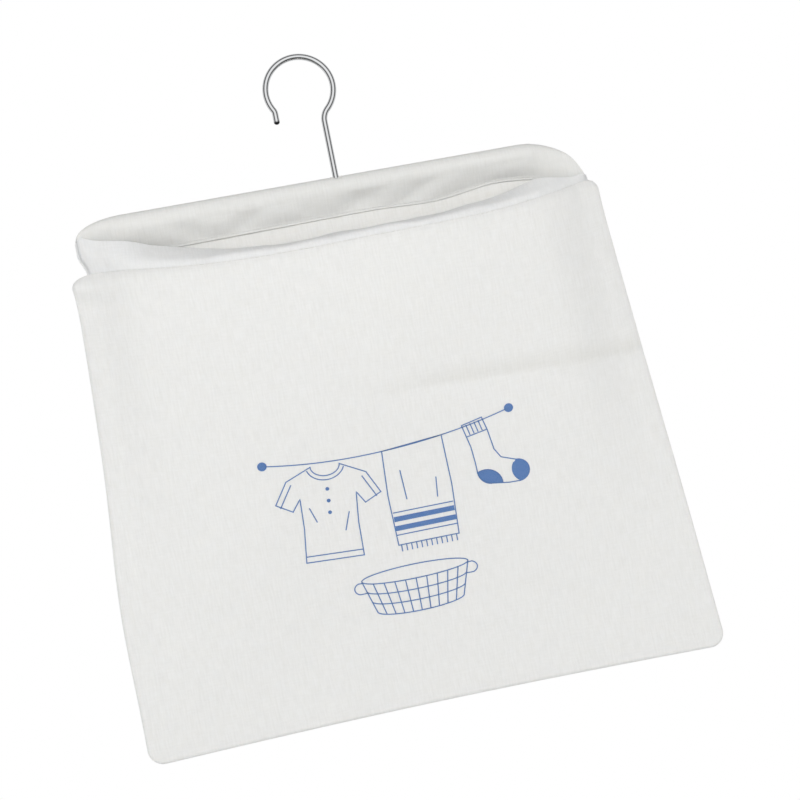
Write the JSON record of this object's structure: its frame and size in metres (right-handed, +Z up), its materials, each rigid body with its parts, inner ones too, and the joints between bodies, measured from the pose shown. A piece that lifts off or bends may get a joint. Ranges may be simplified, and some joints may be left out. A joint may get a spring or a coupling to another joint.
{
  "type": "peg bag",
  "caption": "Open-mouthed cloth bag for clothes pegs, sewn round a wooden dowel and hung from a swivelling bent-wire hook.",
  "frame": {"origin": "the inside of the hook's crown, where the wire bears on a line or a rail", "axes": "+Z up along the hanging bag; +X to the right as the front is seen, along the dowel; -Y is the front, where the mouth sags open"},
  "size_m": [0.3252, 0.0508, 0.3755],
  "materials": {
    "chromed_wire": "bright chromed steel wire",
    "washer_steel": "plain zinc-plated steel",
    "dowel_wood": "turned, unvarnished beech",
    "cotton": "unbleached to off-white plain-weave cotton, matte"
  },
  "bodies": {
    "hook": {"hook": "chromed_wire", "swivel_washer": "washer_steel"},
    "hanger": {"hanger_dowel": "dowel_wood"},
    "bag": {"bar_casing": "cotton", "back_panel": "cotton", "front_panel": "cotton", "front_hem": "cotton", "left_seam": "cotton", "right_seam": "cotton", "bottom_seam": "cotton"}
  },
  "joints": [
    {"name": "hook_swivel", "type": "hinge", "parent": "hook", "child": "hanger", "pos_m": [0.0105, 0, -0.0785], "axis": [0, 0, 1], "continuous": true},
    {"name": "bag_swing", "type": "hinge", "parent": "hanger", "child": "bag", "pos_m": [0.0105, 0, -0.0785], "axis": [1, 0, 0], "range_deg": [-20, 20]}
  ]
}
